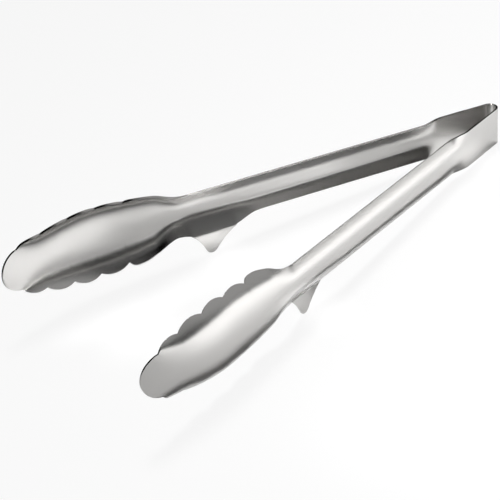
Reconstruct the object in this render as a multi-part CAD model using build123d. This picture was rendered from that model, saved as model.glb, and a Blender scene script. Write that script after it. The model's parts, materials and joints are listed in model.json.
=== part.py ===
from build123d import *
import os
from math import atan, atan2, cos, degrees, hypot, radians, sin, sqrt

# Kitchen tongs, pressed and bent from one strip of stainless sheet, as they lie on a table.
# The near arm is drawn in its own frame: X runs along it from the centre of the bow,
# Y points away from the other arm and Z runs across the strip. The far arm is its mirror
# image. The whole is then tilted until both feet and the bow touch the table.

# Strip and bow
sheet_thickness = 1.0
strip_width = 20.6
bow_inside_radius = 3.27
splay_angle = 13.66

# Places along the arm, measured from the centre of the bow
leaf_start = 4.0
leaf_end = 21.0
shoulder_start = 26.6
shoulder_end = 39.4
root_start = 146.5
tip_place = 271.5
shoulder_steps = 6

# Channel of the handle
channel_width = 20.1
channel_depth = 2.76
channel_rise = -0.1

# Inner control points of half a section: two shares of the half width, then the second one's share of the depth
channel_shares = (0.38, 0.44, 0.03)
flange_shares = (0.307, 0.47, 0.17)
jaw_shares = (0.43, 0.84, 0.32)

# Flange that leads to the foot, below the channel, the foot's root and the neck behind the jaw
flange_length = 17.5
root_length = 25.2
neck_length = 3.3
flange_width = 12.7
flange_depth = 5.25
flange_place_shares = (0.0, 0.25, 0.43, 0.63, 0.8, 1.0)
flange_growth_shares = (0.0, 0.04, 0.14, 0.42, 0.71, 1.0)

# Foot
foot_bend_radius = 2.0
foot_drop = 25.0
foot_tip_run = 14.8
foot_tip_radius = 3.1
foot_back_angle = 52.0
foot_front_angle = 68.0
foot_back_slope = 27.0
foot_front_slope = 36.0


# Jaw, as shares of its length, half width and depth from the neck to the tip
jaw_width = 41.1
jaw_depth = 7.0
jaw_rise = 0.53
jaw_rise_share = 0.155
jaw_knot_shares = (0.0, 0.036, 0.078, 0.155, 0.31, 0.466, 0.616, 0.767, 0.9, 1.015)
jaw_width_shares = (0.507, 0.55, 0.635, 0.805, 0.943, 1.0, 0.956, 0.836, 0.63, 0.45)
jaw_depth_shares = (0.432, 0.471, 0.572, 0.83, 0.971, 1.0, 0.976, 0.839, 0.18, 0.03)
low_width_shares = (0.594, 0.597, 0.66, 0.805)
low_depth_shares = (0.639, 0.605, 0.663, 0.83)
low_flare_shares = (0.8, 0.5, 0.25, 0.0)
hook_start = 220.0
hook_depth = 12.4
wall_reach_share = 1.12
jaw_sections = 17

# Scalloped rim: cusps between the lobes, then the long lobe at the neck
cusp_place_shares = (0.31, 0.467, 0.615, 0.767, 0.899)
cusp_widths = (17.85, 19.1, 18.2, 15.6, 11.6)
cusp_heights = (-0.37, -0.76, -1.73, -3.6, -4.66)
lobe_rise = 2.1
wall_cut_angle = 22.0
last_lobe_cut_angle = 45.0
heel_place_shares = (0.036, 0.078, 0.14, 0.243)
heel_widths = (11.2, 12.8, 15.8, 18.2)
heel_heights = (0.45, -0.05, -1.45, -2.9)
low_heel_widths = (12.0, 13.3, 15.9, 18.2)
low_heel_heights = (-0.5, -0.75, -1.6, -2.9)
heel_cusp_slope = 55.0
tip_radius = 11.8

# Cuts
overrun = 3.0
tilt_passes = 5

half_sheet = sheet_thickness / 2
half_strip = strip_width / 2
half_channel = channel_width / 2
half_jaw = jaw_width / 2
flange_start = root_start - flange_length
root_end = root_start + root_length
foot_tip_place = root_start + foot_tip_run
neck_place = root_end + neck_length
jaw_length = tip_place - neck_place
leaf_plane = bow_inside_radius + half_sheet
bow_outside_radius = bow_inside_radius + sheet_thickness
channel_top = leaf_plane + channel_rise
wall_cut = (cos(radians(wall_cut_angle)), sin(radians(wall_cut_angle)))
foot_wall_angle = degrees(atan2(flange_depth * (1 - flange_shares[2]), flange_width * (1 - flange_shares[1])))


def smooth(share):
    return share * share * (3 - 2 * share)


def blend(first, second, share):
    return tuple(a + (b - a) * share for a, b in zip(first, second))


def follow(knots, values, place):
    """Value at a place on the smooth curve through the knots."""
    last = len(knots) - 1
    slopes = []
    for k in range(last + 1):
        low, high = max(k - 1, 0), min(k + 1, last)
        slopes.append((values[high] - values[low]) / (knots[high] - knots[low]))
    k = max(i for i in range(last) if knots[i] <= place)
    span = knots[k + 1] - knots[k]
    share = (place - knots[k]) / span
    ahead = smooth(share)
    bend_in = share * (1 - share) * (1 - share)
    bend_out = share * share * (1 - share)
    return (values[k] * (1 - ahead) + values[k + 1] * ahead
            + span * (slopes[k] * bend_in - slopes[k + 1] * bend_out))


def move_out(points, shift, turn):
    """Corners (z, y) moved sideways; turn swings the rim's cut from square to the sheet to the jaw's own."""
    normals = []
    for (z_a, y_a), (z_b, y_b) in zip(points, points[1:]):
        length = hypot(z_b - z_a, y_b - y_a)
        normals.append(((y_a - y_b) / length, (z_b - z_a) / length))
    moved = [(points[0][0], points[0][1] + shift)]
    for (z, y), (z_a, y_a), (z_b, y_b) in zip(points[1:], normals, normals[1:]):
        grow = shift / (1 + z_a * z_b + y_a * y_b)
        moved.append((z + grow * (z_a + z_b), y + grow * (y_a + y_b)))
    z_n, y_n = normals[-1]
    cut = (z_n + (wall_cut[0] - z_n) * turn, y_n + (wall_cut[1] - y_n) * turn)
    slide = shift / (cut[0] * z_n + cut[1] * y_n)
    moved.append((points[-1][0] + slide * cut[0], points[-1][1] + slide * cut[1]))
    return moved


def run_on(points, reach):
    """Corners of the same curve, run on to a share of its length."""
    kept = [points[0]]
    for _ in points[1:]:
        points = [tuple(p + (q - p) * reach for p, q in zip(a, b)) for a, b in zip(points, points[1:])]
        kept.append(points[0])
    return kept


def half_section(width, depth, inner_shares, turn, top, shift, reach):
    """Corners of half a section, from the crown down the wall to the rim."""
    floor, fold, drop = inner_shares
    middle = [(0.0, top), (width * floor, top), (width * fold, top - depth * drop), (width, top - depth)]
    return run_on(move_out(middle, shift, turn), reach)


def section(place, upper, lower, top, lean=0.0, reach=1.0):
    """Closed wire across the sheet; a half is its width, depth, inner shares and turn of the rim's cut."""
    sides = []
    for side in (half_sheet, -half_sheet):
        shift = side * sqrt(1 + lean * lean)
        high = [Vector(place, y, z) for z, y in half_section(*upper, top, shift, reach)]
        low = [Vector(place, y, -z) for z, y in half_section(*lower, top, shift, reach)]
        sides.append((low, high))
    (low_out, high_out), (low_in, high_in) = sides
    return Wire([
        Bezier(*low_out[::-1]), Bezier(*high_out), Line(high_out[-1], high_in[-1]),
        Bezier(*high_in[::-1]), Bezier(*low_in), Line(low_in[-1], low_out[-1]),
    ])


def make_bow():
    """U bend of the strip, with a stub of each leaf."""
    half_turn = radians(90 - splay_angle)
    end = Vector(leaf_plane * cos(half_turn), leaf_plane * sin(half_turn))
    along = Vector(-cos(radians(splay_angle)), sin(radians(splay_angle)))
    far_stub = end + along * leaf_start
    start, near_stub = Vector(end.X, -end.Y), Vector(far_stub.X, -far_stub.Y)
    path = Wire([Line(near_stub, start), ThreePointArc(start, (leaf_plane, 0), end), Line(end, far_stub)])
    inward = Vector(along.X, -along.Y)
    across = Plane(origin=near_stub, x_dir=(0, 0, 1), z_dir=-inward)
    return sweep(across * Rectangle(strip_width, sheet_thickness), path)


def make_leaf():
    """Flat, springy stretch of the strip."""
    length = leaf_end - leaf_start
    return Pos(leaf_start + length / 2, leaf_plane) * Box(length, sheet_thickness, strip_width)


def channel_half(growth):
    """Half a section between the flat leaf at 0 and the full channel at 1."""
    return (half_strip + (half_channel - half_strip) * growth, channel_depth * growth, channel_shares, 0.0)


def flange_half(growth):
    """Lower half between the plain channel at 0 and the flared wall above the foot at 1."""
    return (half_channel + (flange_width - half_channel) * growth,
            channel_depth + (flange_depth - channel_depth) * growth,
            blend(channel_shares, flange_shares, growth), 0.0)


def jaw_place(share):
    return neck_place + jaw_length * share


def jaw_half(widths, depths, flares, share):
    """Half a section of the jaw at a share of its length."""
    plain = blend(channel_shares, jaw_shares, smooth(min(share, jaw_rise_share) / jaw_rise_share))
    return (half_jaw * follow(jaw_knot_shares, widths, share), jaw_depth * follow(jaw_knot_shares, depths, share),
            blend(plain, flange_shares, follow(jaw_knot_shares, flares, share)), 1.0)


def jaw_section(share, reach=1.0):
    """Section of the jaw; its crown rises at the neck, and past hook_start falls away inwards in a parabola."""
    plain = (0.0,) * len(jaw_knot_shares)
    low_widths = low_width_shares + jaw_width_shares[len(low_width_shares):]
    low_depths = low_depth_shares + jaw_depth_shares[len(low_depth_shares):]
    low_flares = low_flare_shares + plain[len(low_flare_shares):]
    upper = jaw_half(jaw_width_shares, jaw_depth_shares, plain, share)
    lower = jaw_half(low_widths, low_depths, low_flares, share)
    place = jaw_place(share)
    past = max(place - hook_start, 0.0) / (tip_place - hook_start)
    lean = 2 * hook_depth * past / (tip_place - hook_start)
    top = channel_top + jaw_rise * smooth(min(share, jaw_rise_share) / jaw_rise_share) - hook_depth * past * past
    return section(place, upper, lower, top, lean, reach)


def make_handle():
    """Stub of the leaf, shoulder, straight channel and flange, up to the neck."""
    flat = channel_half(0.0)
    full = channel_half(1.0)
    run_in = shoulder_start - (shoulder_start - leaf_end) / 2
    shoulder = [section(place, flat, flat, leaf_plane) for place in (leaf_end, run_in, shoulder_start)]
    length = shoulder_end - shoulder_start
    for step in range(1, shoulder_steps + 1):
        growth = smooth(step / shoulder_steps)
        half = channel_half(growth)
        place = shoulder_start + length * step / shoulder_steps
        shoulder.append(section(place, half, half, leaf_plane + channel_rise * growth))
    settle = length / shoulder_steps
    channel_start = shoulder_end + settle + settle
    shoulder += [section(place, full, full, channel_top) for place in (shoulder_end + settle, channel_start)]
    channel = Solid.make_loft([section(place, full, full, channel_top) for place in (channel_start, flange_start)])
    flange = []
    for share, growth in zip(flange_place_shares, flange_growth_shares):
        place = flange_start + (root_start - flange_start) * share
        flange.append(section(place, full, flange_half(growth), channel_top))
    root_close = section(root_end, full, flange_half(1.0), channel_top)
    root = Solid.make_loft([flange[-1], root_close])
    neck = Solid.make_loft([root_close, jaw_section(0.0)])
    return Solid.make_loft(shoulder) + channel + Solid.make_loft(flange) + root + neck


def lobe_arc(start, end):
    """Arc of one lobe, bulging away from the crown between two cusps."""
    length = hypot(end[0] - start[0], end[1] - start[1])
    middle = ((start[0] + end[0]) / 2 + (end[1] - start[1]) / length * lobe_rise,
              (start[1] + end[1]) / 2 - (end[0] - start[0]) / length * lobe_rise)
    return ThreePointArc(start, middle, end)


def rim_points(angle, shares, widths, heights):
    """Points of the rim as a cut along the given angle sees them."""
    return [(jaw_place(share), height * cos(radians(angle)) - width * sin(radians(angle)))
            for share, width, height in zip(shares, widths, heights)]


def rim_prism(angle, rim):
    """What a cut along the given angle keeps of the upper half of the jaw, above the rim's edges."""
    start, end = rim[0] @ 0, rim[-1] @ 1
    top = half_jaw + overrun
    seen = Plane(origin=(0, 0, 0), x_dir=(1, 0, 0), z_dir=(0, sin(radians(angle)), cos(radians(angle))))
    frame = Polyline(end, (end.X, top), (start.X, top), start)
    prism = extrude(seen * make_face(rim + [frame]), 2 * jaw_width, both=True)
    half = Pos(jaw_place(cusp_place_shares[0]), 0, jaw_width) * Box(2 * jaw_length, 4 * jaw_width, 2 * jaw_width)
    return prism & half


def scallops(heel_side_widths, heel_side_heights, neck_width, neck_depth):
    """Tool over one half of the jaw, from the neck to the last cusp."""
    cusps = rim_points(wall_cut_angle, cusp_place_shares, cusp_widths, cusp_heights)[:-1]
    heel = rim_points(wall_cut_angle, (0.0,) + heel_place_shares, (neck_width,) + heel_side_widths,
                      (channel_top - neck_depth,) + heel_side_heights)
    steep = (cos(radians(heel_cusp_slope)), sin(radians(heel_cusp_slope)))
    rim = [Spline(heel, tangents=((1, 0), (1, 0))), Spline([heel[-1], cusps[0]], tangents=((1, 0), steep))]
    rim += [lobe_arc(a, b) for a, b in zip(cusps, cusps[1:])]
    last = rim_points(last_lobe_cut_angle, cusp_place_shares, cusp_widths, cusp_heights)[-2:]
    return rim_prism(wall_cut_angle, rim) + rim_prism(last_lobe_cut_angle, [lobe_arc(*last)])


def make_jaw():
    """Spoon-like jaw: a lofted trough with a scalloped rim and a round tip."""
    end_share = jaw_knot_shares[-1]
    blank = Solid.make_loft([jaw_section(end_share * step / jaw_sections, wall_reach_share)
                             for step in range(jaw_sections + 1)])
    upper = scallops(heel_widths, heel_heights, half_jaw * jaw_width_shares[0], jaw_depth * jaw_depth_shares[0])
    lower = scallops(low_heel_widths, low_heel_heights, half_jaw * low_width_shares[0],
                     jaw_depth * low_depth_shares[0])
    corner_place = jaw_place(cusp_place_shares[-1])
    centre = tip_place - tip_radius
    corner = sqrt(tip_radius ** 2 - (corner_place - centre) ** 2)
    tip = [Line((corner_place, -corner), (corner_place, corner)),
           ThreePointArc((corner_place, corner), (tip_place, 0), (corner_place, -corner))]
    tip_prism = extrude(Plane.XZ * make_face(tip), jaw_width, both=True)
    return blank & (upper + mirror(lower, Plane.XY) + tip_prism)


def foot_corner():
    """Height and outward place of the corner where the flared wall and the tab would meet."""
    tangent = foot_bend_radius * sin(radians(foot_wall_angle)) / (1 + cos(radians(foot_wall_angle)))
    return (flange_width + tangent * cos(radians(foot_wall_angle)),
            channel_top - flange_depth - tangent * sin(radians(foot_wall_angle)), tangent)


def make_foot():
    """Tab bent upright from the flared wall, with a rounded toe."""
    corner_z, tab_y, tangent = foot_corner()
    middle = (root_start + root_end) / 2
    start = Vector(middle, channel_top - flange_depth, -flange_width)
    bend_end = Vector(middle, tab_y, -corner_z - tangent)
    wall = Vector(0, -sin(radians(foot_wall_angle)), -cos(radians(foot_wall_angle)))
    bend = TangentArc(start, bend_end, tangent=wall)
    path = Wire([bend, Line(bend_end, Vector(middle, tab_y, -foot_drop - overrun))])
    blank = sweep(Plane(origin=start, x_dir=(1, 0, 0), z_dir=wall) * Rectangle(root_end - root_start, sheet_thickness),
                  path)
    centre = (foot_tip_place, foot_tip_radius - foot_drop)
    back = (centre[0] - foot_tip_radius * sin(radians(foot_back_angle)),
            centre[1] - foot_tip_radius * cos(radians(foot_back_angle)))
    front = (centre[0] + foot_tip_radius * sin(radians(foot_front_angle)),
             centre[1] - foot_tip_radius * cos(radians(foot_front_angle)))
    root_z = -flange_width
    back_way = (cos(radians(foot_back_slope)), -sin(radians(foot_back_slope)))
    front_way = (cos(radians(foot_front_slope)), sin(radians(foot_front_slope)))
    outline = [
        Spline((root_start, root_z), back,
               tangents=(back_way, (cos(radians(foot_back_angle)), -sin(radians(foot_back_angle))))),
        ThreePointArc(back, (foot_tip_place, -foot_drop), front),
        Spline(front, (root_end, root_z),
               tangents=((cos(radians(foot_front_angle)), sin(radians(foot_front_angle))), front_way)),
        Polyline((root_end, root_z), (root_end, 0), (root_start, 0), (root_start, root_z)),
    ]
    return blank & extrude(Plane.XZ * make_face(outline), half_jaw, both=True)


def table_tilt():
    """Angle that brings the foot tips level with the lower edge of the bow."""
    away = (bow_outside_radius + foot_tip_place * cos(radians(splay_angle))
            - foot_corner()[1] * sin(radians(splay_angle)))
    slope = 0.0
    for _ in range(tilt_passes):
        toe = foot_tip_radius * sqrt(1 + (cos(radians(splay_angle)) * slope) ** 2)
        slope = (foot_drop - foot_tip_radius + toe - half_strip) / away
    return degrees(atan(slope))


near = Plane(origin=(0, 0, 0), x_dir=(-cos(radians(splay_angle)), -sin(radians(splay_angle)), 0), z_dir=(0, 0, 1))
shapes = {"spring_bow": make_bow()}
for name, shape in (("leaf", make_leaf()), ("handle", make_handle()), ("jaw", make_jaw()), ("foot", make_foot())):
    placed = near.location * shape
    shapes["near_" + name] = placed
    shapes["far_" + name] = mirror(placed, Plane.XZ)

shapes = {name: Rot(0, table_tilt(), 0) * shape for name, shape in shapes.items()}
whole = Compound(children=[Compound(shape.solids()) for shape in shapes.values()]).bounding_box()
seat = Pos(-whole.center().X, -whole.center().Y, -whole.min.Z)
os.makedirs("parts", exist_ok=True)
for name, shape in shapes.items():
    export_step(seat * shape, "parts/" + name + ".step")
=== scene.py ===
import json
import math

import bmesh
import bpy
from mathutils import Matrix, Quaternion, Vector


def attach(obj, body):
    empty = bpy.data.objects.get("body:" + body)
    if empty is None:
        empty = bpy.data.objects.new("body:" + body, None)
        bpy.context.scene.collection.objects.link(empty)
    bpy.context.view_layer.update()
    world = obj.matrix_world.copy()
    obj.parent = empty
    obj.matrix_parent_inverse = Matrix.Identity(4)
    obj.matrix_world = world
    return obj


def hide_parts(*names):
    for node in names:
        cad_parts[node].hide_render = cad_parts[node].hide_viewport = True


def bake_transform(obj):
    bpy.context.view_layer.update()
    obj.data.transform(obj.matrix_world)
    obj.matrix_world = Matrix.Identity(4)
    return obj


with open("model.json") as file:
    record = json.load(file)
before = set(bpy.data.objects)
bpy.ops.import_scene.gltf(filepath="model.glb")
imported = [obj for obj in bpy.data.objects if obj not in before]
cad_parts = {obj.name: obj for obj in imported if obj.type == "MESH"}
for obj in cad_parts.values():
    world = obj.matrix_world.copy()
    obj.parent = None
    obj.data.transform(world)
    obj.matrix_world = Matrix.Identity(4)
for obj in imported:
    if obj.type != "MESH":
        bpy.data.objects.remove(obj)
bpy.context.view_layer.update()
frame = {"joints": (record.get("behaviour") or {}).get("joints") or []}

# Points closer than this, in metres, count as one, and are looked up by so many digits.
tiny = 1e-6
digits = 7
# Steps of a search, and its range along half a section, as shares of the section's curve.
halvings = 40
least_reach = 0.4
most_reach = 1.4

bl_info = {
    "name": "Kitchen tongs",
    "blender": (4, 5, 0),
    "version": (1, 0, 0),
    "location": "View3D > Sidebar > Tongs",
    "description": "Builds the polished sheet of a pair of sprung kitchen tongs and its studio",
    "category": "Object",
}


def number(name, description, default, **options):
    return bpy.props.FloatProperty(name=name, description=description, default=default,
                                   precision=5, **options)


def length(name, description, default):
    return number(name, description, default, min=0.0, unit="LENGTH")


def angle(name, description, degrees):
    return number(name, description, math.radians(degrees), subtype="ANGLE")


def factor(name, description, default):
    return number(name, description, default, subtype="FACTOR")


def power(name, description, default):
    return number(name, description, default, min=0.0, unit="POWER")


def whole(name, description, default):
    return bpy.props.IntProperty(name=name, description=description, default=default)


def shares(name, description, default, **options):
    return bpy.props.FloatVectorProperty(name=name, description=description, default=default,
                                         size=len(default), precision=5, **options)


def lengths(name, description, default):
    return shares(name, description, default, unit="LENGTH")


def spot(name, description, default):
    return shares(name, description, default, subtype="TRANSLATION")


def heading(name, description, default):
    return shares(name, description, default, subtype="DIRECTION")


def colour(name, description, default):
    return shares(name, description, default, subtype="COLOR")


class TONGS_PG_strip(bpy.types.PropertyGroup):
    sheet: length("Sheet", "Thickness of the sheet", 0.001)
    strip_width: length("Strip width", "Width of the strip at the bow", 0.0206)
    bow_inside_radius: length("Bow radius", "Inside radius of the bow", 0.00327)
    leaf_start: length("Leaf start", "Place of the first hinge, from the bow's centre", 0.004)
    bow_seam: length("Bow seam", "Where the bow's piece meets a leaf's", 0.001)
    leaf_seam: length("Leaf seam", "Where a leaf's piece meets the arm's", 0.0125)
    shoulder_start: length("Shoulder start", "Where the flat leaf starts to curve", 0.0266)
    shoulder_end: length("Shoulder end", "Where the full channel starts", 0.0394)
    flange_start: length("Flange start", "Where the lower wall starts to flare", 0.129)
    root_start: length("Root start", "Bow end of the foot's bend", 0.1465)
    root_end: length("Root end", "Jaw end of the foot's bend", 0.1717)
    root_margin: length("Root margin", "Settling length at both ends of the foot's bend", 0.003)
    neck_place: length("Neck", "Where the jaw starts", 0.175)
    tip_place: length("Tip", "Outer end of the jaw", 0.2715)
    channel_width: length("Channel width", "Width of the handle's channel", 0.0201)
    channel_depth: length("Channel depth", "Depth of the handle's channel", 0.00276)
    channel_sink: length("Channel sink", "How far the channel's crown lies inside the leaf's plane", 0.0001)
    channel_shares: shares("Channel shares", "Inner control points of half a section", (0.38, 0.44, 0.03))
    flange_shares: shares("Flange shares", "The same above the foot", (0.307, 0.47, 0.17))
    flange_width: length("Flange width", "Half width at the foot's bend", 0.0127)
    flange_depth: length("Flange depth", "Depth at the foot's bend", 0.00525)
    flange_place_shares: shares("Flange places", "Shares of the flange's length",
                                (0.0, 0.25, 0.43, 0.63, 0.8, 1.0))
    flange_growth_shares: shares("Flange growth", "Growth at those places",
                                 (0.0, 0.04, 0.14, 0.42, 0.71, 1.0))
    edge_radius: length("Edge radius", "Rounding of the sheet's cut edges", 0.00022)


class TONGS_PG_jaw(bpy.types.PropertyGroup):
    width: length("Width", "Width of the jaw over its walls", 0.0411)
    depth: length("Depth", "Depth of the bowl", 0.007)
    section_shares: shares("Section shares", "Inner control points of half a section", (0.43, 0.84, 0.32))
    rise: length("Rise", "How far the crown rises at the neck", 0.00053)
    rise_share: number("Rise share", "Share of the jaw's length that it takes", 0.155)
    knot_shares: shares("Knots", "Places along the jaw",
                        (0.0, 0.036, 0.078, 0.155, 0.31, 0.466, 0.616, 0.767, 0.9, 1.015))
    width_shares: shares("Widths", "Half widths at the knots",
                         (0.507, 0.55, 0.635, 0.805, 0.943, 1.0, 0.956, 0.836, 0.63, 0.45))
    depth_shares: shares("Depths", "Depths at the knots",
                         (0.432, 0.471, 0.572, 0.83, 0.971, 1.0, 0.976, 0.839, 0.18, 0.03))
    low_width_shares: shares("Low widths", "Lower half widths at the first knots",
                             (0.594, 0.597, 0.66, 0.805))
    low_depth_shares: shares("Low depths", "Lower depths at the first knots",
                             (0.639, 0.605, 0.663, 0.83))
    low_flare_shares: shares("Low flares", "Flare of the lower wall at the first knots",
                             (0.8, 0.5, 0.25, 0.0))
    hook_start: length("Hook start", "Where the jaw starts to curve inwards", 0.220)
    hook_depth: length("Hook depth", "How far the tip lies inwards", 0.0124)
    cusp_shares: shares("Cusps", "Places of the cusps", (0.31, 0.467, 0.615, 0.767, 0.899))
    cusp_widths: lengths("Cusp widths", "Half widths at the cusps",
                         (0.01785, 0.0191, 0.0182, 0.0156, 0.0116))
    cusp_heights: lengths("Cusp heights", "Outward places of the cusps",
                          (-0.00037, -0.00076, -0.00173, -0.0036, -0.00466))
    lobe_rise: length("Lobe rise", "How far a lobe bulges between its cusps", 0.0021)
    wall_cut: angle("Wall cut", "Direction of the rim's cut", 22.0)
    last_cut: angle("Last lobe cut", "Direction of the cut at the last lobe", 45.0)
    heel_shares: shares("Heel", "Places along the long lobe", (0.036, 0.078, 0.14, 0.243))
    heel_widths: lengths("Heel widths", "Upper half widths there",
                         (0.0112, 0.0128, 0.0158, 0.0182))
    heel_heights: lengths("Heel heights", "Upper outward places there",
                          (0.00045, -0.00005, -0.00145, -0.0029))
    low_heel_widths: lengths("Low heel widths", "Lower half widths there",
                             (0.012, 0.0133, 0.0159, 0.0182))
    low_heel_heights: lengths("Low heel heights", "Lower outward places there",
                              (-0.0005, -0.00075, -0.0016, -0.0029))
    heel_slope: angle("Heel slope", "Slope of the rim into the first cusp", 55.0)
    tip_radius: length("Tip radius", "Radius of the round tip", 0.0118)


class TONGS_PG_foot(bpy.types.PropertyGroup):
    bend_radius: length("Bend radius", "Radius of the bend between wall and tab", 0.002)
    drop: length("Drop", "Distance from the strip's middle to the toe", 0.025)
    tip_place: length("Toe place", "Place of the toe along the arm", 0.1613)
    tip_radius: length("Toe radius", "Radius of the toe", 0.0031)
    back_angle: angle("Back angle", "Where the toe's arc starts", 52.0)
    front_angle: angle("Front angle", "Where the toe's arc ends", 68.0)
    back_slope: angle("Back slope", "Slope of the tab's edge at the bow end", 27.0)
    front_slope: angle("Front slope", "Slope of the tab's edge at the jaw end", 36.0)


class TONGS_PG_mesh(bpy.types.PropertyGroup):
    half_rows: whole("Rows", "Rows of faces on each half of the sheet", 26)
    step: length("Step", "Length of a face along the jaw", 0.001)
    tip_columns: whole("Tip columns", "Columns of faces on the tip", 12)
    foot_rows: whole("Foot rows", "Rows of faces down the tab", 16)
    bow_columns: whole("Bow columns", "Columns of faces round the bow", 48)
    edge_segments: whole("Edge segments", "Segments of a rounded edge", 3)
    edge_profile: factor("Edge profile", "Roundness of that edge", 0.5)
    face_weight: whole("Face weight", "Weight of the large faces in the normals", 100)
    leaf_columns: whole("Leaf columns", "Columns of faces along a leaf", 16)
    end_columns: whole("End columns", "Columns of faces from the bend of the bow to a leaf", 2)
    flat_rows: whole("Flat rows", "Rows of faces across the bow and the leaves", 8)
    stretch_shares: shares("Stretches", "Lengths of the faces from leaf to neck, as shares of the step",
                           (2.0, 0.7, 4.0, 1.0, 0.8, 0.7))
    past_share: number("Past share", "Run of the shoulder's faces past its end, as a share of the step", 2.0)
    sweep_steps: whole("Sweep steps", "Steps down each side of the tab's outline", 12)
    toe_steps: whole("Toe steps", "Steps round the toe", 10)


class TONGS_PG_look(bpy.types.PropertyGroup):
    steel: colour("Steel", "Colour of the steel", (0.565, 0.557, 0.545))
    roughness: factor("Roughness", "Roughness of the polish", 0.2)
    brush_stretch: shares("Brush stretch", "Scales of the brushing along and across the tongs",
                          (60.0, 900.0, 900.0))
    brush_scale: number("Brush scale", "Scale of the brushing's noise", 3.0)
    brush_detail: number("Brush detail", "Detail of that noise", 6.0)
    least_rough_share: number("Least roughness", "Least share of the roughness in the brushing", 0.8)
    most_rough_share: number("Most roughness", "Largest share of the roughness in the brushing", 1.25)
    brush_strength: factor("Brush strength", "Strength of the brushing's relief", 0.04)
    brush_depth: length("Brush depth", "Depth of that relief", 0.00002)
    wave_scale: number("Wave scale", "Scale of the slight waves of the sheet", 60.0)
    wave_detail: number("Wave detail", "Detail of those waves", 1.0)
    wave_strength: factor("Wave strength", "Strength of those waves", 0.05)
    wave_depth: length("Wave depth", "Depth of those waves", 0.0004)


class TONGS_PG_studio(bpy.types.PropertyGroup):
    floor: colour("Floor", "Colour of the floor", (0.9, 0.9, 0.9))
    floor_size: length("Floor size", "Side of the square floor", 8.0)
    floor_roughness: factor("Floor roughness", "Roughness of the floor", 0.9)
    floor_white: factor("White floor", "Share of plain white that the camera sees", 0.9)
    key_place: spot("Key place", "Place of the lamp above", (0.46, 0.34, 1.72))
    key_aim: spot("Key aim", "Point on the floor that it looks at", (0.15, -0.25, 0.0))
    key_size: length("Key size", "Side of the lamp above", 0.55)
    key_power: power("Key power", "Power of the lamp above", 1.9)
    key_spread: angle("Key spread", "Opening angle of that lamp's beam", 34.0)
    pool_place: spot("Pool place", "Place of the lamp over the floor in front", (0.55, -0.428, 0.3))
    pool_size: length("Pool size", "Side of that square lamp", 1.0)
    pool_turn: angle("Pool turn", "Turn of that lamp about the vertical", 18.0)
    pool_spread: angle("Pool spread", "Opening angle of that lamp's beam", 20.0)
    pool_power: power("Pool power", "Power of that lamp", 3.0)
    slit_place: spot("Slit place", "Place of the lamp over the floor between the arms", (-0.035, 0.0155, 0.2))
    slit_width: length("Slit width", "Width of that lamp", 0.18)
    slit_length: length("Slit length", "Length of that lamp", 0.006)
    slit_turn: angle("Slit turn", "Turn of that lamp about the vertical", -12.5)
    slit_spread: angle("Slit spread", "Opening angle of that lamp's beam", 8.0)
    slit_power: power("Slit power", "Power of that lamp", 0.0046)
    tip_place: spot("Tip place", "Place of the lamp over the floor between the jaws", (-0.092, 0.012, 0.3))
    tip_size: length("Tip lamp size", "Side of that square lamp", 0.028)
    tip_spread: angle("Tip spread", "Opening angle of that lamp's beam", 8.0)
    tip_power: power("Tip power", "Power of that lamp", 0.003)
    near_spot: spot("Near spot", "Point on the floor before the near foot", (-0.022, -0.043, 0.0))
    far_spot: spot("Far spot", "Point on the floor before the far foot", (-0.027, 0.026, 0.0))
    leaf_spot: spot("Leaf spot", "Point on the floor before the near leaf", (0.118, -0.014, 0.0))
    spot_away: spot("Spots away", "Way from those points to their lamps", (-0.05, -0.35, 0.5))
    inner_spot: spot("Inner spot", "Point on the floor between the leaves", (0.105, 0.0, 0.0))
    inner_away: spot("Inner away", "Way from that point to its lamp", (0.0, 0.0, 0.6))
    spot_size: length("Spot size", "Side of those lamps", 0.01)
    spot_spread: angle("Spot spread", "Opening angle of those lamps' beams", 3.0)
    foot_power: power("Foot power", "Power of the lamps at the feet", 0.0011)
    leaf_power: power("Leaf power", "Power of the lamps at the leaves", 0.0005)
    box: number("Soft box", "Light of the soft box at the front", 0.12)
    box_side: heading("Box direction", "Direction of the soft box", (0.0, -0.94, 0.34))
    box_core: angle("Box core", "Angle of the fully lit part", 8.0)
    box_edge: angle("Box edge", "Angle where the soft box ends", 30.0)
    room: number("Room", "Light of the studio's walls", 0.46)
    room_side: heading("Room direction", "Direction of the lighter walls", (0.75, -0.35, 0.56))
    room_core: angle("Room core", "Angle of the lighter part", 16.0)
    room_edge: angle("Room edge", "Angle where the lighter walls end", 52.0)
    lens: number("Lens", "Focal length in millimetres", 143.806, unit="CAMERA")
    sensor: number("Sensor", "Width of the sensor in millimetres", 36.0, unit="CAMERA")
    camera_place: spot("Camera", "Place of the camera", (-0.454542, -0.652434, 0.593113))
    camera_aim: spot("Aim", "Point that the camera looks at", (-0.018068, 0.018537, 0.003859))
    camera_roll: angle("Roll", "Turn of the camera about its view", -9.4545)


def smooth(share):
    return share * share * (3 - 2 * share)


def mix(first, second, share):
    return [a + (b - a) * share for a, b in zip(first, second)]


def follow(knots, values, place):
    """Value at a place on the smooth curve through the knots."""
    last = len(knots) - 1
    k = max([i for i in range(last) if knots[i] <= place], default=0)
    slopes = []
    for i in (k, k + 1):
        low, high = max(i - 1, 0), min(i + 1, last)
        slopes.append((values[high] - values[low]) / (knots[high] - knots[low]))
    span = knots[k + 1] - knots[k]
    share = (place - knots[k]) / span
    ahead = smooth(share)
    bend = share * (1 - share)
    return (values[k] * (1 - ahead) + values[k + 1] * ahead
            + span * bend * (slopes[0] * (1 - share) - slopes[1] * share))


def solve(value, target, low, high):
    """Argument between low and high at which a falling value reaches the target."""
    for _ in range(halvings):
        middle = (low + high) / 2
        if value(middle) > target:
            low = middle
        else:
            high = middle
    return (low + high) / 2


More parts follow.
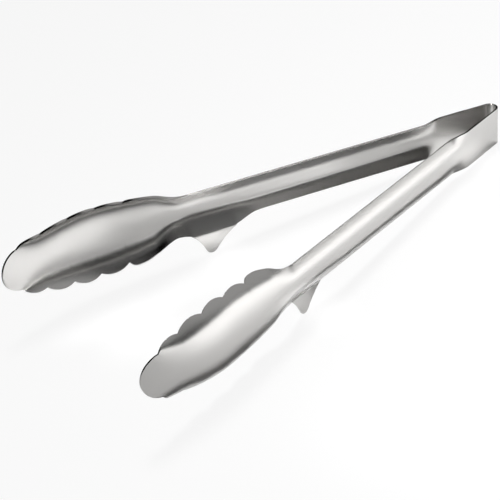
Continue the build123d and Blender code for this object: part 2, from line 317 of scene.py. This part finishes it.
class Sheet:
    """Middle surface of one arm, in the arm's own frame: place along it, outwards, across."""

    def __init__(self, scene):
        self.strip, self.jaw, self.foot = scene.tongs_strip, scene.tongs_jaw, scene.tongs_foot
        self.mesh = scene.tongs_mesh
        strip, jaw = self.strip, self.jaw
        self.plane = strip.bow_inside_radius + strip.sheet / 2
        self.top = self.plane - strip.channel_sink
        self.half_strip, self.half_channel = strip.strip_width / 2, strip.channel_width / 2
        self.jaw_length = strip.tip_place - strip.neck_place
        run = strip.root_start - strip.flange_start
        # Knots along the arm, with one before the flange, so that it grows from nothing without a kink
        places = [strip.flange_start - run]
        places += [strip.flange_start + run * share for share in strip.flange_place_shares]
        growths = [0.0] + list(strip.flange_growth_shares)
        places += [strip.root_start + strip.root_margin, strip.root_end - strip.root_margin, strip.root_end]
        growths += [1.0, 1.0, 1.0]
        jaw_places = [self.jaw_place(share) for share in jaw.knot_shares]
        self.knots = places + jaw_places
        half = jaw.width / 2
        widths = [half * share for share in jaw.width_shares]
        depths = [jaw.depth * share for share in jaw.depth_shares]
        count = len(jaw.low_width_shares)
        low_widths = [half * share for share in jaw.low_width_shares] + widths[count:]
        low_depths = [jaw.depth * share for share in jaw.low_depth_shares] + depths[count:]
        low_flares = list(jaw.low_flare_shares) + [0.0] * (len(widths) - count)
        plain = [0.0] * len(self.knots)
        channels = [(self.half_channel, strip.channel_depth)] * len(places)
        flange = (strip.flange_width, strip.flange_depth)
        flanges = [mix(channel, flange, growth) for channel, growth in zip(channels, growths)]
        flange_widths, flange_depths = [list(sizes) for sizes in zip(*flanges)]
        # Widths, depths and flares at the knots, of the upper half and of the lower half
        self.halves = {
            1: ([self.half_channel] * len(places) + widths,
                [strip.channel_depth] * len(places) + depths, plain),
            -1: (flange_widths + low_widths, flange_depths + low_depths, growths + low_flares),
        }
        cusp_places = [self.jaw_place(share) for share in jaw.cusp_shares]
        self.cusps = list(zip(cusp_places, jaw.cusp_widths, jaw.cusp_heights))

    def jaw_place(self, share):
        return self.strip.neck_place + self.jaw_length * share

    def settled(self, place):
        """How far the section has changed from the channel's to the jaw's."""
        run = self.jaw_length * self.jaw.rise_share
        return smooth(min(max(place - self.strip.neck_place, 0.0), run) / run)

    def crown(self, place):
        """Outward place of the section's middle."""
        strip, jaw = self.strip, self.jaw
        if place <= strip.shoulder_end:
            share = max(place - strip.shoulder_start, 0.0) / (strip.shoulder_end - strip.shoulder_start)
            return self.plane - strip.channel_sink * smooth(share)
        past = max(place - jaw.hook_start, 0.0) / (strip.tip_place - jaw.hook_start)
        return self.top + jaw.rise * self.settled(place) - jaw.hook_depth * past * past

    def corners(self, place, side):
        """Four control points (across, outwards) of half a section."""
        strip = self.strip
        if place <= self.knots[1]:
            share = max(place - strip.shoulder_start, 0.0) / (strip.shoulder_end - strip.shoulder_start)
            growth = smooth(min(share, 1.0))
            width = self.half_strip + (self.half_channel - self.half_strip) * growth
            depth, flare = strip.channel_depth * growth, 0.0
        else:
            width, depth, flare = [follow(self.knots, values, place) for values in self.halves[side]]
        plain = mix(strip.channel_shares, self.jaw.section_shares, self.settled(place))
        floor, fold, drop = mix(plain, strip.flange_shares, flare)
        top = self.crown(place)
        return ((0.0, top), (width * floor, top), (width * fold, top - depth * drop), (width, top - depth))

    def on_curve(self, corners, reach):
        """Point (across, outwards) of half a section at a share of its curve."""
        rest = 1 - reach
        parts = (rest ** 3, 3 * rest * rest * reach, 3 * rest * reach * reach, reach ** 3)
        return tuple(sum(part * corner[axis] for part, corner in zip(parts, corners)) for axis in (0, 1))

    def seen(self, width, height, angle):
        """Height of a section's point, as a cut along the angle sees it."""
        return height * math.cos(angle) - width * math.sin(angle)

    def lobe(self, place, angle):
        """Rim on the arc between the two cusps around a place, as a cut along the angle sees it."""
        k = max(i for i in range(len(self.cusps) - 1) if self.cusps[i][0] <= place)
        (a, wa, ha), (b, wb, hb) = self.cusps[k:k + 2]
        start, end = Vector((a, self.seen(wa, ha, angle))), Vector((b, self.seen(wb, hb, angle)))
        chord = end - start
        rise = self.jaw.lobe_rise
        radius = (chord.length_squared / 4 + rise * rise) / (2 * rise)
        centre = (start + end) / 2 + Vector((-chord.y, chord.x)).normalized() * (radius - rise)
        return centre.y - math.sqrt(max(radius * radius - (place - centre.x) ** 2, 0.0))

    def rim(self, place, side):
        """Share of the section's curve at which the rim lies, over 1 where it runs past the curve's end."""
        jaw = self.jaw
        if place <= self.strip.neck_place:
            return 1.0
        angle = jaw.wall_cut
        corners = self.corners(place, side)
        if place < self.cusps[0][0]:
            widths = list(jaw.heel_widths if side > 0 else jaw.low_heel_widths)
            heights = list(jaw.heel_heights if side > 0 else jaw.low_heel_heights)
            neck = self.corners(self.strip.neck_place, side)[-1]
            knots = [self.strip.neck_place] + [self.jaw_place(share) for share in jaw.heel_shares]
            levels = [self.seen(w, h, angle) for w, h in zip([neck[0]] + widths, [neck[1]] + heights)]
            if place <= knots[-1]:
                # A mirrored knot past the last one makes the rim level there
                level = follow(knots + [2 * knots[-1] - knots[-2]], levels + [levels[-2]], place)
            else:
                end = self.seen(self.cusps[0][1], self.cusps[0][2], angle)
                span = self.cusps[0][0] - knots[-1]
                share = (place - knots[-1]) / span
                level = (levels[-1] + (end - levels[-1]) * smooth(share)
                         - math.tan(jaw.heel_slope) * span * share * share * (1 - share))
        else:
            if place > self.cusps[-2][0]:
                angle = jaw.last_cut
            level = self.lobe(min(place, self.cusps[-1][0]), angle)
        return solve(lambda reach: self.seen(*self.on_curve(corners, reach), angle), level,
                     least_reach, most_reach)

    def point(self, place, share):
        """Point of the sheet at a place, from the lower rim at -1 to the upper one at 1."""
        side = 1 if share >= 0 else -1
        across, out = self.on_curve(self.corners(place, side), abs(share) * self.rim(place, side))
        return Vector((place, out, across * side))

    def tip_point(self, along, share):
        """Point of the tip: of a patch between the last cusps' line and the round end, laid on the crown."""
        centre, radius = self.strip.tip_place - self.jaw.tip_radius, self.jaw.tip_radius
        start = self.cusps[-1][0]
        first = self.point(start, share)
        corner = self.point(start, 1.0)
        open_angle = math.atan2(corner.z, corner.x - centre)
        turn = open_angle / 2

        def arc(angle):
            return Vector((centre + radius * math.cos(angle), radius * math.sin(angle)))

        left, right = Vector((start, first.z)), arc(turn * share)
        side = open_angle + (turn - open_angle) * along
        high, low = arc(side), arc(-side)
        up = (share + 1) / 2
        flat = (left * (1 - along) + right * along + high * up + low * (1 - up)
                - (Vector((start, corner.z)) * up + Vector((start, -corner.z)) * (1 - up)) * (1 - along)
                - (arc(turn) * up + arc(-turn) * (1 - up)) * along)
        corners = self.corners(flat.x, 1)
        reach = solve(lambda r: -self.on_curve(corners, r)[0], -abs(flat.y), 0.0, most_reach)
        return Vector((flat.x, self.on_curve(corners, reach)[1], flat.y))

    def tab_outline(self, count):
        """Points of the tab's edge, evenly spaced from the bow end over the toe to the jaw end."""
        foot, strip = self.foot, self.strip
        root = -strip.flange_width
        middle = Vector((foot.tip_place, foot.tip_radius - foot.drop))

        def toe(angle):
            return middle + foot.tip_radius * Vector((math.sin(angle), -math.cos(angle)))

        def sweep(start, end, go, come):
            chord = (end - start).length
            line = []
            for i in range(self.mesh.sweep_steps + 1):
                t = i / self.mesh.sweep_steps
                line.append(start * (1 - smooth(t)) + end * smooth(t)
                            + chord * t * (1 - t) * (go * (1 - t) - come * t))
            return line

        def way(angle):
            return Vector((math.cos(angle), math.sin(angle)))

        back, front = toe(-foot.back_angle), toe(foot.front_angle)
        line = sweep(Vector((strip.root_start, root)), back, way(-foot.back_slope), way(-foot.back_angle))
        steps, turn = self.mesh.toe_steps, foot.back_angle + foot.front_angle
        line += [toe(-foot.back_angle + turn * i / steps) for i in range(1, steps)]
        line += sweep(front, Vector((strip.root_end, root)), way(foot.front_angle), way(foot.front_slope))
        reached = [0.0]
        for a, b in zip(line, line[1:]):
            reached.append(reached[-1] + (b - a).length)
        even = []
        for i in range(count + 1):
            along = reached[-1] * i / count
            k = min(max([j for j in range(len(line)) if reached[j] <= along]), len(line) - 2)
            share = (along - reached[k]) / (reached[k + 1] - reached[k])
            even.append(line[k].lerp(line[k + 1], share))
        return even

    def tab_point(self, place, drop, rim):
        """Point of the tab that lies a distance below the rim, round the bend."""
        strip, radius = self.strip, self.foot.bend_radius
        corners = self.corners(strip.root_start, -1)
        (wa, ha), (wb, hb) = corners[2:]
        lean = math.atan2(ha - hb, wb - wa)
        bend = min(drop, radius * lean)
        turned = lean - bend / radius
        across = -rim.z + radius * (math.sin(lean) - math.sin(turned)) + (drop - bend)
        out = rim.y - radius * (math.cos(turned) - math.cos(lean))
        return Vector((place, out, -across))


def hinge(name):
    """Place and axis of a packed hinge."""
    joint = next(joint for joint in frame["joints"] if joint["name"] == name)
    return Vector(joint["pos_m"]), Vector(joint["axis"])


def arm_frame(sheet, side):
    """Matrix from an arm's own frame to the row frame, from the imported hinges."""
    name = "far" if side > 0 else "near"
    first, axis = hinge(name + "_leaf_flex")
    second = hinge(name + "_arm_flex")[0]
    across = axis * side
    along = (second - first).normalized()
    out = along.cross(across) * side
    origin = first - along * sheet.strip.leaf_start - out * sheet.strip.bow_inside_radius
    matrix = Matrix((along, out, across)).transposed().to_4x4()
    matrix.translation = origin
    return matrix


def stations(sheet):
    """Places of the arm's columns, up to the last cusps."""
    strip, step = sheet.strip, sheet.mesh.step
    marks = [strip.leaf_seam, strip.shoulder_start, strip.shoulder_end + sheet.mesh.past_share * step,
             strip.flange_start, strip.root_start, strip.root_end, strip.neck_place]
    marks += [cusp[0] for cusp in sheet.cusps]
    steps = [step * share for share in sheet.mesh.stretch_shares] + [step] * len(sheet.cusps)
    places = marks[:1]
    for start, end, size in zip(marks, marks[1:], steps):
        count = max(round((end - start) / size), 1)
        places += [start + (end - start) * i / count for i in range(1, count + 1)]
    return places


def grid(columns, rows):
    """Flat grid with its vertices by column and row."""
    bm = bmesh.new()
    bmesh.ops.create_grid(bm, x_segments=columns, y_segments=rows, size=1.0)
    table = {(round((v.co.x + 1) / 2 * columns), round((v.co.y + 1) / 2 * rows)): v for v in bm.verts}
    return bm, table


def thicken(bm, sheet, is_seam):
    """Gives the middle surface its thickness, opens it at the seams and rounds its cut edges."""
    bm.normal_update()
    layer = bm.verts.layers.float_vector.new("outward")
    for vert in bm.verts:
        vert[layer] = vert.normal * vert.calc_shell_factor() * sheet.strip.sheet / 2
    outer = set(bm.faces)
    verts = list(bm.verts)
    whole_sheet = list(bm.faces) + list(bm.edges) + verts
    made = bmesh.ops.extrude_face_region(bm, geom=whole_sheet, use_keep_orig=True)["geom"]
    for vert in verts:
        vert.co += vert[layer]
    for vert in made:
        if isinstance(vert, bmesh.types.BMVert):
            vert.co -= vert[layer]
    inner = {face for face in made if isinstance(face, bmesh.types.BMFace)}
    sides = [face for face in bm.faces if face not in outer and face not in inner]
    closed = [face for face in sides if all(is_seam(vert) for vert in face.verts)]
    sides = set(sides) - set(closed)
    bmesh.ops.delete(bm, geom=closed, context="FACES_ONLY")
    bmesh.ops.recalc_face_normals(bm, faces=list(bm.faces))
    cut = [edge for edge in bm.edges
           if len(edge.link_faces) == 2 and len([face for face in edge.link_faces if face in sides]) == 1]
    bmesh.ops.bevel(bm, geom=cut, offset=sheet.strip.edge_radius, offset_type="OFFSET",
                    segments=sheet.mesh.edge_segments, profile=sheet.mesh.edge_profile,
                    affect="EDGES", material=-1, clamp_overlap=True)
    bm.verts.layers.float_vector.remove(bm.verts.layers.float_vector["outward"])


def finish_piece(bm, name):
    """Object in the scene from a finished surface, in steel and with even normals."""
    for face in bm.faces:
        face.smooth = True
    mesh = bpy.data.meshes.new(name)
    bm.to_mesh(mesh)
    bm.free()
    piece = bpy.data.objects.new(name, mesh)
    bpy.context.scene.collection.objects.link(piece)
    mesh.materials.append(steel_material())
    weigh = piece.modifiers.new("Even normals", "WEIGHTED_NORMAL")
    weigh.weight = bpy.context.scene.tongs_mesh.face_weight
    return piece


def steel_pattern(look):
    """Node group: fine brushing of the sheet, as roughness and normal."""
    name = "Brushing"
    if name in bpy.data.node_groups:
        return bpy.data.node_groups[name]
    group = bpy.data.node_groups.new(name, "ShaderNodeTree")
    group.interface.new_socket("Roughness", in_out="INPUT", socket_type="NodeSocketFloat")
    group.interface.new_socket("Roughness", in_out="OUTPUT", socket_type="NodeSocketFloat")
    group.interface.new_socket("Normal", in_out="OUTPUT", socket_type="NodeSocketVector")
    nodes, links = group.nodes, group.links
    inside, outside = nodes.new("NodeGroupInput"), nodes.new("NodeGroupOutput")
    place = nodes.new("ShaderNodeTexCoord")

    def noise(scale, detail, where):
        texture = nodes.new("ShaderNodeTexNoise")
        texture.inputs["Scale"].default_value = scale
        texture.inputs["Detail"].default_value = detail
        links.new(where, texture.inputs["Vector"])
        return texture.outputs["Fac"]

    def relief(height, strength, depth):
        bump = nodes.new("ShaderNodeBump")
        bump.inputs["Strength"].default_value = strength
        bump.inputs["Distance"].default_value = depth
        links.new(height, bump.inputs["Height"])
        return bump

    stretch = nodes.new("ShaderNodeMapping")
    stretch.inputs["Scale"].default_value = look.brush_stretch
    links.new(place.outputs["Object"], stretch.inputs["Vector"])
    lines = noise(look.brush_scale, look.brush_detail, stretch.outputs["Vector"])
    waves = noise(look.wave_scale, look.wave_detail, place.outputs["Object"])
    vary = nodes.new("ShaderNodeMapRange")
    vary.inputs["To Min"].default_value = look.least_rough_share
    vary.inputs["To Max"].default_value = look.most_rough_share
    links.new(lines, vary.inputs["Value"])
    scale = nodes.new("ShaderNodeMath")
    scale.operation = "MULTIPLY"
    links.new(vary.outputs["Result"], scale.inputs[0])
    links.new(inside.outputs["Roughness"], scale.inputs[1])
    links.new(scale.outputs["Value"], outside.inputs["Roughness"])
    swell = relief(waves, look.wave_strength, look.wave_depth)
    grain = relief(lines, look.brush_strength, look.brush_depth)
    links.new(swell.outputs["Normal"], grain.inputs["Normal"])
    links.new(grain.outputs["Normal"], outside.inputs["Normal"])
    return group


def steel_material():
    name = "Polished steel"
    if name in bpy.data.materials:
        return bpy.data.materials[name]
    look = bpy.context.scene.tongs_look
    material = bpy.data.materials.new(name)
    material.use_nodes = True
    nodes, links = material.node_tree.nodes, material.node_tree.links
    shader = nodes["Principled BSDF"]
    shader.inputs["Base Color"].default_value = (*look.steel, 1.0)
    shader.inputs["Metallic"].default_value = 1.0
    pattern = nodes.new("ShaderNodeGroup")
    pattern.node_tree = steel_pattern(look)
    pattern.inputs["Roughness"].default_value = look.roughness
    links.new(pattern.outputs["Roughness"], shader.inputs["Roughness"])
    links.new(pattern.outputs["Normal"], shader.inputs["Normal"])
    return material


def arm_piece(bm, sheet, side, is_seam, name):
    """Piece from a middle surface in an arm's own frame, and that frame's matrix."""
    thicken(bm, sheet, is_seam)
    matrix = arm_frame(sheet, side)
    bm.transform(matrix)
    bmesh.ops.recalc_face_normals(bm, faces=list(bm.faces))
    return finish_piece(bm, name), matrix


class TONGS_OT_bow(bpy.types.Operator):
    """Builds the springy bow, the U bend of the strip"""
    bl_idname = "tongs.bow"
    bl_label = "Bow"

    def execute(self, context):
        sheet = Sheet(context.scene)
        near, far = arm_frame(sheet, -1), arm_frame(sheet, 1)
        columns, ends, rows = sheet.mesh.bow_columns, sheet.mesh.end_columns, sheet.mesh.flat_rows
        bm, table = grid(columns + 2 * ends, rows)
        centre = far.translation
        across = far.col[2].to_3d()
        side = Vector((0.0, 1.0, 0.0))
        ahead = side.cross(across)
        far_out = far.col[1].to_3d()
        half_turn = math.atan2(far_out.dot(side), far_out.dot(ahead))
        seam = sheet.strip.bow_seam
        for (column, row), vert in table.items():
            height = across * (sheet.half_strip * (2 * row / rows - 1))
            if column < ends:
                vert.co = near @ Vector((seam * (1 - column / ends), sheet.plane, 0.0)) + height
            elif column > columns + ends:
                vert.co = far @ Vector((seam * (column - columns - ends) / ends, sheet.plane, 0.0)) + height
            else:
                turn = half_turn * (2 * (column - ends) / columns - 1)
                vert.co = centre + sheet.plane * (ahead * math.cos(turn) + side * math.sin(turn)) + height
        inverse_near, inverse_far = near.inverted(), far.inverted()

        def is_seam(vert):
            return any(abs((matrix @ vert.co).x - seam) < tiny and (matrix @ vert.co).y > 0
                       for matrix in (inverse_near, inverse_far))

        thicken(bm, sheet, is_seam)
        piece = finish_piece(bm, "bow_skin")
        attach(piece, "bow")
        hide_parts("spring_bow")
        return {"FINISHED"}


class TONGS_OT_leaves(bpy.types.Operator):
    """Builds the two flat leaves next to the bow"""
    bl_idname = "tongs.leaves"
    bl_label = "Leaves"

    def execute(self, context):
        sheet = Sheet(context.scene)
        strip = sheet.strip
        columns, rows = sheet.mesh.leaf_columns, sheet.mesh.flat_rows
        for side, name in ((-1, "near"), (1, "far")):
            bm, table = grid(columns, rows)
            for (column, row), vert in table.items():
                place = strip.bow_seam + (strip.leaf_seam - strip.bow_seam) * column / columns
                vert.co = Vector((place, sheet.plane, sheet.half_strip * (2 * row / rows - 1)))

            def is_seam(vert):
                return abs(vert.co.x - strip.bow_seam) < tiny or abs(vert.co.x - strip.leaf_seam) < tiny

            piece, matrix = arm_piece(bm, sheet, side, is_seam, name + "_leaf_skin")
            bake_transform(piece)
            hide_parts(name + "_leaf")
        return {"FINISHED"}


class TONGS_OT_arms(bpy.types.Operator):
    """Builds the two arms: the end of the leaf, the handle, the foot and the jaw"""
    bl_idname = "tongs.arms"
    bl_label = "Arms"

    def execute(self, context):
        sheet = Sheet(context.scene)
        strip, mesh = sheet.strip, sheet.mesh
        places = stations(sheet)
        rows = 2 * mesh.half_rows
        body = len(places) - 1
        columns = body + mesh.tip_columns
        for side, name in ((-1, "near"), (1, "far")):
            bm, table = grid(columns, rows)
            for (column, row), vert in table.items():
                share = 2 * row / rows - 1
                if column <= body:
                    vert.co = sheet.point(places[column], share)
                else:
                    vert.co = sheet.tip_point((column - body) / mesh.tip_columns, share)
            self.make_tab(bm, table, sheet, places)

            def is_seam(vert):
                return abs(vert.co.x - strip.leaf_seam) < tiny

            piece, matrix = arm_piece(bm, sheet, side, is_seam, name + "_arm_skin")
            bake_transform(piece)
            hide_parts(name + "_handle", name + "_jaw", name + "_foot")
        return {"FINISHED"}

    def make_tab(self, bm, table, sheet, places):
        """Extrudes the lower rim of the flange round the bend and down to the toe."""
        strip, mesh = sheet.strip, sheet.mesh
        first = min(range(len(places)), key=lambda i: abs(places[i] - strip.root_start))
        last = min(range(len(places)), key=lambda i: abs(places[i] - strip.root_end))
        row = [table[(i, 0)] for i in range(first, last + 1)]
        rims = [vert.co.copy() for vert in row]
        outline = sheet.tab_outline(last - first)
        root = -strip.flange_width
        for step in range(1, mesh.foot_rows + 1):
            edges = [edge for vert in row for edge in vert.link_edges
                     if edge.other_vert(vert) in row and edge.is_boundary]
            # The new vertices start on the old ones, so each is known by its place
            old = {tuple(round(c, digits) for c in vert.co): k for k, vert in enumerate(row)}
            made = bmesh.ops.extrude_edge_only(bm, edges=list(dict.fromkeys(edges)))["geom"]
            fresh = [vert for vert in made if isinstance(vert, bmesh.types.BMVert)]
            order = {old[tuple(round(c, digits) for c in vert.co)]: vert for vert in fresh}
            share = step / mesh.foot_rows
            for k, vert in order.items():
                place = rims[k].x + (outline[k].x - rims[k].x) * share
                vert.co = sheet.tab_point(place, (root - outline[k].y) * share, rims[k])
            row = [order[k] for k in range(len(row))]
        bmesh.ops.remove_doubles(bm, verts=list(bm.verts), dist=tiny)


def toward(place, aim):
    """Rotation of a lamp that looks from one point at another."""
    return (Vector(aim) - Vector(place)).to_track_quat("-Z", "Y")


def soft_lamp(name, place, rotation, size, power, spread):
    """Rectangular lamp, which shines straight down unless it is rotated."""
    lamp = bpy.data.lights.new(name, "AREA")
    lamp.shape = "RECTANGLE"
    lamp.size, lamp.size_y = size
    lamp.energy = power
    lamp.spread = spread
    stand = bpy.data.objects.new(name, lamp)
    bpy.context.scene.collection.objects.link(stand)
    stand.location = place
    stand.rotation_mode = "QUATERNION"
    stand.rotation_quaternion = rotation


def build_floor(scene, studio):
    """Pale floor, which the camera sees as white with a faint shadow."""
    bm = bmesh.new()
    bmesh.ops.create_grid(bm, x_segments=1, y_segments=1, size=studio.floor_size / 2)
    mesh = bpy.data.meshes.new("floor")
    bm.to_mesh(mesh)
    bm.free()
    floor = bpy.data.objects.new("floor", mesh)
    scene.collection.objects.link(floor)
    paint = bpy.data.materials.new("Floor")
    paint.use_nodes = True
    nodes, links = paint.node_tree.nodes, paint.node_tree.links
    shader, output = nodes["Principled BSDF"], nodes["Material Output"]
    shader.inputs["Base Color"].default_value = (*studio.floor, 1.0)
    shader.inputs["Roughness"].default_value = studio.floor_roughness
    shader.inputs["Specular IOR Level"].default_value = 0.0
    white = nodes.new("ShaderNodeEmission")
    rays = nodes.new("ShaderNodeLightPath")
    share = nodes.new("ShaderNodeMath")
    share.operation = "MULTIPLY"
    share.inputs[1].default_value = studio.floor_white
    seen = nodes.new("ShaderNodeMixShader")
    links.new(rays.outputs["Is Camera Ray"], share.inputs[0])
    links.new(share.outputs["Value"], seen.inputs["Fac"])
    links.new(shader.outputs["BSDF"], seen.inputs[1])
    links.new(white.outputs["Emission"], seen.inputs[2])
    links.new(seen.outputs["Shader"], output.inputs["Surface"])
    mesh.materials.append(paint)


def build_lamps(studio):
    """Lamp above, and lamps that light parts of the floor, which the steel mirrors."""
    upright = Vector((0.0, 0.0, 1.0))
    slit_turn = Quaternion(upright, studio.slit_turn)
    soft_lamp("key", studio.key_place, toward(studio.key_place, studio.key_aim),
              (studio.key_size, studio.key_size), studio.key_power, studio.key_spread)
    soft_lamp("pool", studio.pool_place, Quaternion(upright, studio.pool_turn),
              (studio.pool_size, studio.pool_size), studio.pool_power, studio.pool_spread)
    soft_lamp("slit", studio.slit_place, slit_turn,
              (studio.slit_width, studio.slit_length), studio.slit_power, studio.slit_spread)
    soft_lamp("tip", studio.tip_place, slit_turn,
              (studio.tip_size, studio.tip_size), studio.tip_power, studio.tip_spread)
    spots = (("near_spot", studio.near_spot, studio.spot_away, studio.foot_power),
             ("far_spot", studio.far_spot, studio.spot_away, studio.foot_power),
             ("leaf_spot", studio.leaf_spot, studio.spot_away, studio.leaf_power),
             ("inner_spot", studio.inner_spot, studio.inner_away, studio.leaf_power))
    for name, aim, away, power in spots:
        place = Vector(aim) + Vector(away)
        soft_lamp(name, place, toward(place, aim),
                  (studio.spot_size, studio.spot_size), power, studio.spot_spread)


def build_surroundings(scene, studio):
    """Two soft patches of light around a dark room, which the camera sees as white."""
    world = scene.world or bpy.data.worlds.new("Studio")
    scene.world = world
    world.use_nodes = True
    nodes, links = world.node_tree.nodes, world.node_tree.links
    back = nodes["Background"]
    where = nodes.new("ShaderNodeTexCoord")

    def patch(direction, edge, core, light):
        """Light of a soft patch, which grows from its edge to its core."""
        facing = nodes.new("ShaderNodeVectorMath")
        facing.operation = "DOT_PRODUCT"
        facing.inputs[1].default_value = Vector(direction).normalized()
        links.new(where.outputs["Generated"], facing.inputs[0])
        level = nodes.new("ShaderNodeMapRange")
        level.interpolation_type = "SMOOTHSTEP"
        level.inputs["From Min"].default_value = math.cos(edge)
        level.inputs["From Max"].default_value = math.cos(core)
        level.inputs["To Max"].default_value = light
        links.new(facing.outputs["Value"], level.inputs["Value"])
        return level.outputs["Result"]

    both = nodes.new("ShaderNodeMath")
    both.operation = "ADD"
    links.new(patch(studio.box_side, studio.box_edge, studio.box_core, studio.box), both.inputs[0])
    links.new(patch(studio.room_side, studio.room_edge, studio.room_core, studio.room), both.inputs[1])
    rays = nodes.new("ShaderNodeLightPath")
    seen = nodes.new("ShaderNodeMix")
    seen.data_type = "FLOAT"
    links.new(rays.outputs["Is Camera Ray"], seen.inputs[0])
    links.new(both.outputs["Value"], seen.inputs[2])
    seen.inputs[3].default_value = 1.0
    links.new(seen.outputs[0], back.inputs["Strength"])
    back.inputs["Color"].default_value = (1.0, 1.0, 1.0, 1.0)


def place_camera(scene, studio):
    """Camera at the photographed viewing angle."""
    camera = bpy.data.objects.new("camera", bpy.data.cameras.new("camera"))
    scene.collection.objects.link(camera)
    camera.data.lens = studio.lens
    camera.data.sensor_width = studio.sensor
    camera.location = studio.camera_place
    back = (camera.location - Vector(studio.camera_aim)).normalized()
    camera.rotation_mode = "QUATERNION"
    level = (-back).to_track_quat("-Z", "Y")
    camera.rotation_quaternion = Quaternion(back, studio.camera_roll) @ level
    scene.camera = camera
    scene.view_settings.view_transform = "Standard"


class TONGS_OT_stage(bpy.types.Operator):
    """Builds the floor, the lamps and the surroundings, and places the camera"""
    bl_idname = "tongs.stage"
    bl_label = "Stage"

    def execute(self, context):
        scene = context.scene
        studio = scene.tongs_studio
        build_floor(scene, studio)
        build_lamps(studio)
        build_surroundings(scene, studio)
        place_camera(scene, studio)
        return {"FINISHED"}


class TONGS_PT_panel(bpy.types.Panel):
    bl_label = "Kitchen tongs"
    bl_idname = "TONGS_PT_panel"
    bl_space_type = "VIEW_3D"
    bl_region_type = "UI"
    bl_category = "Tongs"

    def draw(self, context):
        for operator in operators:
            self.layout.operator(operator.bl_idname)


groups = {"tongs_strip": TONGS_PG_strip, "tongs_jaw": TONGS_PG_jaw, "tongs_foot": TONGS_PG_foot,
          "tongs_mesh": TONGS_PG_mesh, "tongs_look": TONGS_PG_look, "tongs_studio": TONGS_PG_studio}
operators = (TONGS_OT_bow, TONGS_OT_leaves, TONGS_OT_arms, TONGS_OT_stage)
classes = (*groups.values(), *operators, TONGS_PT_panel)


def register():
    for cls in classes:
        bpy.utils.register_class(cls)
    for name, group in groups.items():
        setattr(bpy.types.Scene, name, bpy.props.PointerProperty(type=group))


def unregister():
    for name in groups:
        delattr(bpy.types.Scene, name)
    for cls in reversed(classes):
        bpy.utils.unregister_class(cls)


def main():
    register()
    bpy.ops.tongs.bow()
    bpy.ops.tongs.leaves()
    bpy.ops.tongs.arms()
    bpy.ops.tongs.stage()


if __name__ == "__main__":
    main()
